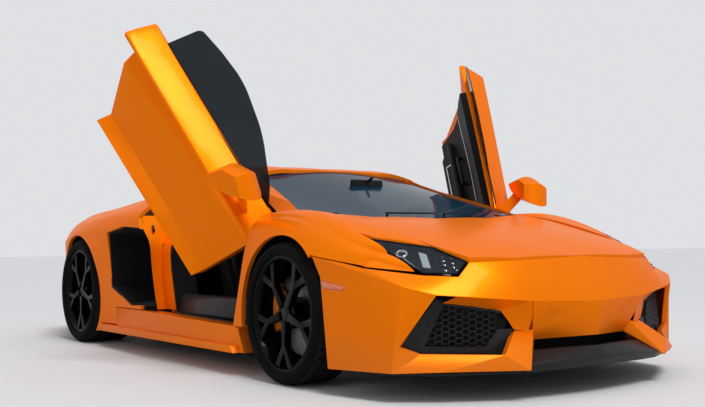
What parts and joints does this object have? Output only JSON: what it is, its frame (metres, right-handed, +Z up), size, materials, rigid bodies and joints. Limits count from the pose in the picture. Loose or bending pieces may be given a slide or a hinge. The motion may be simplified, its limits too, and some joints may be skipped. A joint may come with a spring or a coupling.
{
  "type": "mid-engined supercar with scissor doors",
  "caption": "Low wedge-shaped mid-engined supercar with both scissor doors raised, opening hood, engine cover and wing, steering front wheels.",
  "frame": {"origin": "on the ground under the middle of the car's bounding box", "axes": "+X towards the nose, +Y towards the car's left, +Z up"},
  "size_m": [4.753, 2.698, 1.8832],
  "materials": {
    "paint": "gloss orange clear-coated",
    "carbon": "clear-coated carbon weave",
    "black_plastic": "satin black",
    "dark_glass": "dark tint",
    "lamp_glass": "clear over black",
    "alloy": "cast, satin",
    "steel": "heat tinted",
    "caliper_paint": "gloss orange",
    "leather": "black with silver-grey piping",
    "tyre": "matte black",
    "rim_black": "gloss black",
    "disc_iron": "turned"
  },
  "bodies": {
    "chassis": {"tub": "carbon", "rear_frame": "alloy", "underbody": "black_plastic", "fenders": "paint", "roof": "paint", "windscreen": "dark_glass", "cowl": "black_plastic", "quarter_glass": "dark_glass", "front_bumper": "paint", "front_splitter": "carbon", "front_meshes": "black_plastic", "headlamps": "lamp_glass", "rear_quarters": "paint", "sills": "paint", "side_ducts": "black_plastic", "arch_liners": "black_plastic", "lid_hinges": "alloy", "door_hinges": "alloy", "engine": "alloy", "rear_bumper": "paint", "rear_meshes": "black_plastic", "diffuser": "black_plastic", "exhaust": "steel", "tail_lamps": "lamp_glass", "front_suspension": "alloy", "rear_suspension": "alloy", "rear_calipers": "caliper_paint", "seats": "leather", "dashboard": "leather", "wipers": "black_plastic"},
    "hood": {"hood": "paint"},
    "engine_cover": {"engine_cover": "paint"},
    "rear_wing": {"rear_wing": "paint"},
    "steering_wheel": {"steering_wheel": "leather"},
    "door_left": {"door_shell_left": "paint", "door_trim_left": "leather", "door_glass_left": "dark_glass", "mirror_left": "paint"},
    "knuckle_left": {"knuckle_left": "alloy", "caliper_front_left": "caliper_paint"},
    "wheel_front_left": {"tyre_front_left": "tyre", "rim_front_left": "rim_black", "disc_front_left": "disc_iron"},
    "wheel_rear_left": {"tyre_rear_left": "tyre", "rim_rear_left": "rim_black", "disc_rear_left": "disc_iron"},
    "door_right": {"door_shell_right": "paint", "door_trim_right": "leather", "door_glass_right": "dark_glass", "mirror_right": "paint"},
    "knuckle_right": {"knuckle_right": "alloy", "caliper_front_right": "caliper_paint"},
    "wheel_front_right": {"tyre_front_right": "tyre", "rim_front_right": "rim_black", "disc_front_right": "disc_iron"},
    "wheel_rear_right": {"tyre_rear_right": "tyre", "rim_rear_right": "rim_black", "disc_rear_right": "disc_iron"}
  },
  "joints": [
    {"name": "steer_left", "type": "hinge", "parent": "chassis", "child": "knuckle_left", "pos_m": [1.28, 0.784, 0.3305], "axis": [0, 0, 1], "range_deg": [-30, 30]},
    {"name": "roll_front_left", "type": "hinge", "parent": "knuckle_left", "child": "wheel_front_left", "pos_m": [1.28, 0.86, 0.3305], "axis": [0, 1, 0], "continuous": true},
    {"name": "roll_rear_left", "type": "hinge", "parent": "chassis", "child": "wheel_rear_left", "pos_m": [-1.42, 0.845, 0.355], "axis": [0, 1, 0], "continuous": true},
    {"name": "close_door_left", "type": "hinge", "parent": "chassis", "child": "door_left", "pos_m": [0.876, 0.95, 0.735], "axis": [0.052, -0.9515, 0.3032], "range_deg": [0, 57.85]},
    {"name": "steer_right", "type": "hinge", "parent": "chassis", "child": "knuckle_right", "pos_m": [1.28, -0.784, 0.3305], "axis": [0, 0, 1], "range_deg": [-30, 30]},
    {"name": "roll_front_right", "type": "hinge", "parent": "knuckle_right", "child": "wheel_front_right", "pos_m": [1.28, -0.86, 0.3305], "axis": [0, 1, 0], "continuous": true},
    {"name": "roll_rear_right", "type": "hinge", "parent": "chassis", "child": "wheel_rear_right", "pos_m": [-1.42, -0.845, 0.355], "axis": [0, 1, 0], "continuous": true},
    {"name": "close_door_right", "type": "hinge", "parent": "chassis", "child": "door_right", "pos_m": [0.876, -0.95, 0.735], "axis": [-0.052, -0.9515, -0.3032], "range_deg": [0, 57.85]},
    {"name": "open_hood", "type": "hinge", "parent": "chassis", "child": "hood", "pos_m": [1.152, 0, 0.772], "axis": [0, -1, 0], "range_deg": [0, 55]},
    {"name": "open_engine_cover", "type": "hinge", "parent": "chassis", "child": "engine_cover", "pos_m": [-0.74, 0, 1.024], "axis": [0, 1, 0], "range_deg": [0, 50]},
    {"name": "raise_wing", "type": "hinge", "parent": "chassis", "child": "rear_wing", "pos_m": [-2.185, 0, 0.826], "axis": [0, 1, 0], "range_deg": [0, 11]},
    {"name": "turn_steering_wheel", "type": "hinge", "parent": "chassis", "child": "steering_wheel", "pos_m": [0.62, 0.37, 0.7], "axis": [-0.9272, 0, 0.3746], "range_deg": [-400, 400]}
  ],
  "couplings": [
    {"joint": "steer_right", "follows": "steer_left", "ratio": 1},
    {"joint": "turn_steering_wheel", "follows": "steer_left", "ratio": 13}
  ]
}
